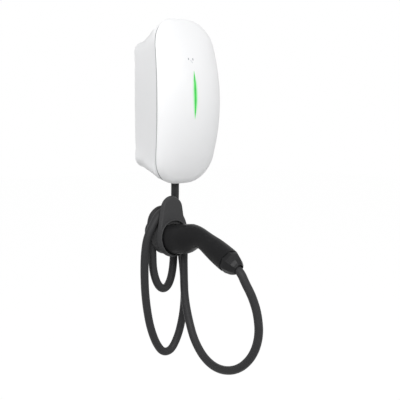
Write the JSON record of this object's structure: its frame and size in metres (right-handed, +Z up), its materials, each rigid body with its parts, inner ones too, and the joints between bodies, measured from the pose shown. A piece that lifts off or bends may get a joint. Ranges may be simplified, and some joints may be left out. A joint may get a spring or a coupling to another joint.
{
  "type": "ev wallbox",
  "caption": "White domed car charging box on a wall, its black cable hung in turns over a separate black wall dock that holds the bent charging plug.",
  "frame": {"origin": "centre of the four wall fixing holes of the charger's bracket, on the wall", "axes": "+X to the right seen from the front, +Y into the wall, +Z up; the wall is the plane Y = 0"},
  "size_m": [0.1797, 0.2892, 0.6971],
  "materials": {
    "bracket_steel": "zinc plated pressed steel",
    "screw_steel": "zinc plated screws",
    "housing_white": "white moulded plastic, satin to gloss",
    "cover_white": "white moulded plastic, glossy",
    "light_green": "clear light guide lit green",
    "gasket_rubber": "soft foam rubber",
    "grommet_rubber": "black rubber",
    "seal_rubber": "black rubber",
    "frame_plastic": "grey moulded plastic",
    "lamp_board": "white lamp board",
    "board_green": "green circuit board",
    "relay_black": "black sealed block",
    "sensor_blue": "blue coated sensor ring",
    "terminal_grey": "grey terminal plastic",
    "can_metal": "bright metal cans",
    "gland_black": "black glass filled nylon",
    "dock_black": "black moulded plastic, fine grain",
    "shield_black": "black moulded plastic, fine grain",
    "plug_black": "black moulded plastic, satin",
    "carrier_black": "black insulating plastic",
    "contact_silver": "silver plated contacts",
    "nut_black": "black moulded plastic",
    "cable_black": "black cable sheath, satin"
  },
  "bodies": {
    "root": {"wall_bracket": "bracket_steel", "bracket_screws": "screw_steel", "rear_housing": "housing_white", "supply_grommet": "grommet_rubber", "housing_gasket": "gasket_rubber", "front_cover": "cover_white", "cover_screws": "screw_steel", "light_guide": "light_green", "light_board": "lamp_board", "front_frame": "frame_plastic", "reader_board": "board_green", "main_board": "board_green", "board_screws": "screw_steel", "power_relay_left": "relay_black", "power_relay_right": "relay_black", "leakage_sensor": "sensor_blue", "supply_terminals": "terminal_grey", "cable_terminals": "terminal_grey", "power_supply_block": "relay_black", "capacitors": "can_metal", "wireless_module": "can_metal", "gland_body": "gland_black", "gland_locknut": "gland_black", "gland_nut": "gland_black", "gland_seal": "seal_rubber", "dock_wall_plate": "bracket_steel", "dock_body": "dock_black", "dock_fixing_screw": "screw_steel", "dock_shield": "shield_black", "dock_shield_screws": "screw_steel", "plug_housing": "plug_black", "contact_carrier": "carrier_black", "plug_contacts": "contact_silver", "clamp_nut": "nut_black", "strain_seal": "seal_rubber", "charging_cable": "cable_black"}
  },
  "joints": []
}
